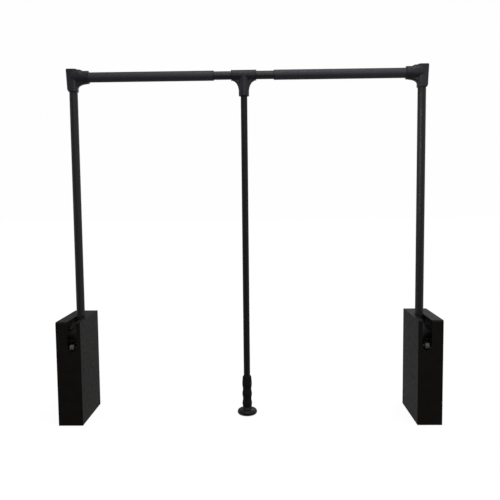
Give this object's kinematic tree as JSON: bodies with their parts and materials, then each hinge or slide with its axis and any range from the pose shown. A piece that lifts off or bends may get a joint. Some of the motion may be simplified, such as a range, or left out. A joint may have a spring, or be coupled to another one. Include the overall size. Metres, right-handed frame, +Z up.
{
  "type": "pull-down wardrobe rail",
  "caption": "Pull-down wardrobe rail: sprung housings for both wardrobe sides, arms that swing forward, a telescopic hanging rail and a pull rod with a grip.",
  "frame": {"origin": "midway between the two housings, at the level of their undersides", "axes": "+X along the rail, -Y to the front where the rail swings, +Z up"},
  "size_m": [0.92, 0.16, 0.8595],
  "materials": {
    "cover_plastic": "fine moulded texture, matt black",
    "black_tube": "satin black powder coat on steel tube",
    "rod_tube": "black powder coat on steel tube",
    "rail_tube": "satin charcoal powder coat on steel tube",
    "inner_tube": "smooth satin black enamel on steel tube",
    "connector_plastic": "moulded black nylon, satin",
    "bush_plastic": "moulded black acetal",
    "grip_rubber": "soft black rubber",
    "knob_plastic": "moulded black plastic, satin",
    "zinc_steel": "zinc-plated sheet steel",
    "bright_steel": "bright turned steel",
    "hub_metal": "zinc alloy casting, black coated",
    "bush_bronze": "sintered bronze",
    "spring_steel": "oiled spring wire",
    "damper_paint": "black enamel",
    "guide_plastic": "natural acetal",
    "black_screw": "black oxide"
  },
  "bodies": {
    "left_housing": {"left_mounting_plate": "zinc_steel", "left_housing_cover": "cover_plastic", "left_cover_screws": "black_screw", "left_cheek_plate": "zinc_steel", "left_spacer_posts": "zinc_steel", "left_pivot_axle": "bright_steel", "left_stop_pins": "bright_steel", "left_spring_bridge": "zinc_steel", "left_rack_guide": "guide_plastic", "left_damper_cylinder": "damper_paint", "left_counter_spring": "spring_steel"},
    "left_rack_unit": {"left_rack": "bright_steel", "left_draw_bar": "bright_steel", "left_crosshead": "zinc_steel", "left_draw_bar_nut": "zinc_steel", "left_damper_rod": "bright_steel"},
    "left_frame": {"left_pivot_hub": "hub_metal", "left_hub_bush": "bush_bronze", "left_arm_tube": "black_tube", "left_arm_pin": "bright_steel", "left_elbow": "connector_plastic", "left_elbow_cap": "connector_plastic", "left_elbow_screws": "black_screw", "left_rail_tube": "rail_tube", "left_guide_bush": "bush_plastic"},
    "inner_rail": {"rail_inner_tube": "inner_tube", "rail_end_plugs": "bush_plastic", "tee_rings": "bush_plastic"},
    "pull_handle": {"tee_connector": "connector_plastic", "tee_screw": "black_screw", "pull_rod": "rod_tube", "handle_grip": "grip_rubber", "knob": "knob_plastic"},
    "right_frame": {"right_pivot_hub": "hub_metal", "right_hub_bush": "bush_bronze", "right_arm_tube": "black_tube", "right_arm_pin": "bright_steel", "right_elbow": "connector_plastic", "right_elbow_cap": "connector_plastic", "right_elbow_screws": "black_screw", "right_rail_tube": "rail_tube", "right_guide_bush": "bush_plastic"},
    "right_housing": {"right_mounting_plate": "zinc_steel", "right_housing_cover": "cover_plastic", "right_cover_screws": "black_screw", "right_cheek_plate": "zinc_steel", "right_spacer_posts": "zinc_steel", "right_pivot_axle": "bright_steel", "right_stop_pins": "bright_steel", "right_spring_bridge": "zinc_steel", "right_rack_guide": "guide_plastic", "right_damper_cylinder": "damper_paint", "right_counter_spring": "spring_steel"},
    "right_rack_unit": {"right_rack": "bright_steel", "right_draw_bar": "bright_steel", "right_crosshead": "zinc_steel", "right_draw_bar_nut": "zinc_steel", "right_damper_rod": "bright_steel"}
  },
  "joints": [
    {"name": "swing", "type": "hinge", "parent": "left_housing", "child": "left_frame", "pos_m": [-0.422, 0, 0.208], "axis": [1, 0, 0], "range_deg": [0, 92], "stiffness_Nm_per_rad": 19, "springref_deg": -14.32},
    {"name": "left_rack_slide", "type": "slide", "parent": "left_housing", "child": "left_rack_unit", "axis": [0, 0, 1], "range_m": [0, 0.03214], "deforming": ["left_counter_spring"]},
    {"name": "left_telescope", "type": "slide", "parent": "left_frame", "child": "inner_rail", "axis": [1, 0, 0], "range_m": [-0.0419, 0.115]},
    {"name": "pull_swivel", "type": "hinge", "parent": "inner_rail", "child": "pull_handle", "pos_m": [-0.0065, 0, 0.84], "axis": [1, 0, 0], "continuous": true},
    {"name": "right_telescope", "type": "slide", "parent": "inner_rail", "child": "right_frame", "axis": [1, 0, 0], "range_m": [-0.0419, 0.115]},
    {"name": "right_pivot", "type": "hinge", "parent": "right_frame", "child": "right_housing", "pos_m": [0.422, 0, 0.208], "axis": [1, 0, 0], "range_deg": [-92, 0]},
    {"name": "right_rack_slide", "type": "slide", "parent": "right_housing", "child": "right_rack_unit", "axis": [0, 0, 1], "range_m": [0, 0.03214], "deforming": ["right_counter_spring"]}
  ],
  "couplings": [
    {"joint": "left_rack_slide", "follows": "swing", "m_per_rad": 0.02},
    {"joint": "right_pivot", "follows": "swing", "ratio": -1},
    {"joint": "right_rack_slide", "follows": "swing", "m_per_rad": 0.02}
  ]
}
